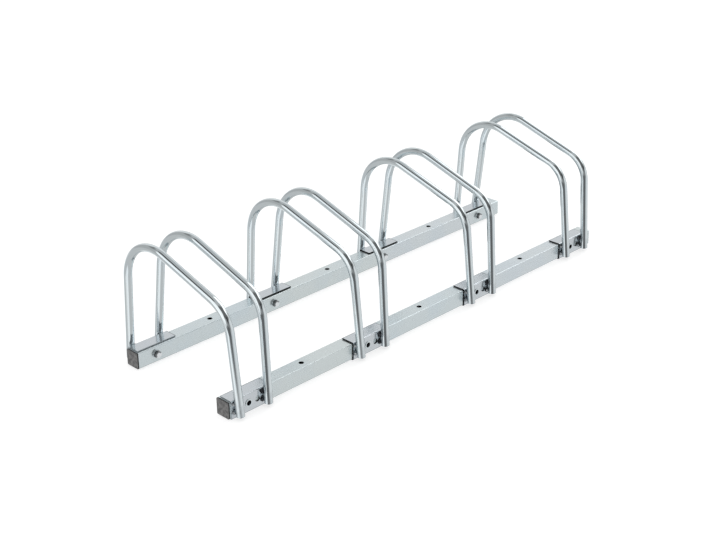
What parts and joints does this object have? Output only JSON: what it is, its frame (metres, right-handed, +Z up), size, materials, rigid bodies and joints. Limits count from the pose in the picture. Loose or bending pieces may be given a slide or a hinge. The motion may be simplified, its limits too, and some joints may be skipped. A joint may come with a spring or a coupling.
{
  "type": "floor bike rack",
  "caption": "Floor-standing bike rack of bent tube hoops in pairs, low at the front and high at the rear, on two square rails joined by bolted couplings.",
  "frame": {"origin": "centre of the bounding box in X and Y, on the floor plane under the couplings", "axes": "+X runs along the two rails from the capped end towards the short end piece, -Y is the front, where the hoops are low, and +Z is up"},
  "size_m": [1.037, 0.3311, 0.267],
  "materials": {
    "zinc_tube": "bright zinc plating on drawn round tube, smooth and fairly glossy",
    "zinc_sheet": "bright zinc plating on folded sheet steel",
    "zinc_rail": "bright zinc plating on square steel tube, faint cloudy tint",
    "cap_plastic": "black moulded plastic, fine grain",
    "weld_metal": "dull, darkened weld bead under thin zinc",
    "fastener_zinc": "zinc plated fastener steel"
  },
  "bodies": {
    "root": {"hoop_1_left": "zinc_tube", "hoop_1_right": "zinc_tube", "hoop_2_left": "zinc_tube", "hoop_2_right": "zinc_tube", "hoop_3_left": "zinc_tube", "hoop_3_right": "zinc_tube", "hoop_4_left": "zinc_tube", "hoop_4_right": "zinc_tube", "front_coupling_1": "zinc_sheet", "front_coupling_2": "zinc_sheet", "front_coupling_3": "zinc_sheet", "front_coupling_4": "zinc_sheet", "rear_coupling_1": "zinc_sheet", "rear_coupling_2": "zinc_sheet", "rear_coupling_3": "zinc_sheet", "rear_coupling_4": "zinc_sheet", "front_rail_1": "zinc_rail", "front_rail_2": "zinc_rail", "front_rail_3": "zinc_rail", "front_rail_end": "zinc_rail", "rear_rail_1": "zinc_rail", "rear_rail_2": "zinc_rail", "rear_rail_3": "zinc_rail", "rear_rail_end": "zinc_rail", "front_cap_left": "cap_plastic", "front_cap_right": "cap_plastic", "rear_cap_left": "cap_plastic", "rear_cap_right": "cap_plastic", "welds_1": "weld_metal", "welds_2": "weld_metal", "welds_3": "weld_metal", "welds_4": "weld_metal", "bolts": "fastener_zinc", "washers": "fastener_zinc", "threaded_inserts": "fastener_zinc"}
  },
  "joints": []
}
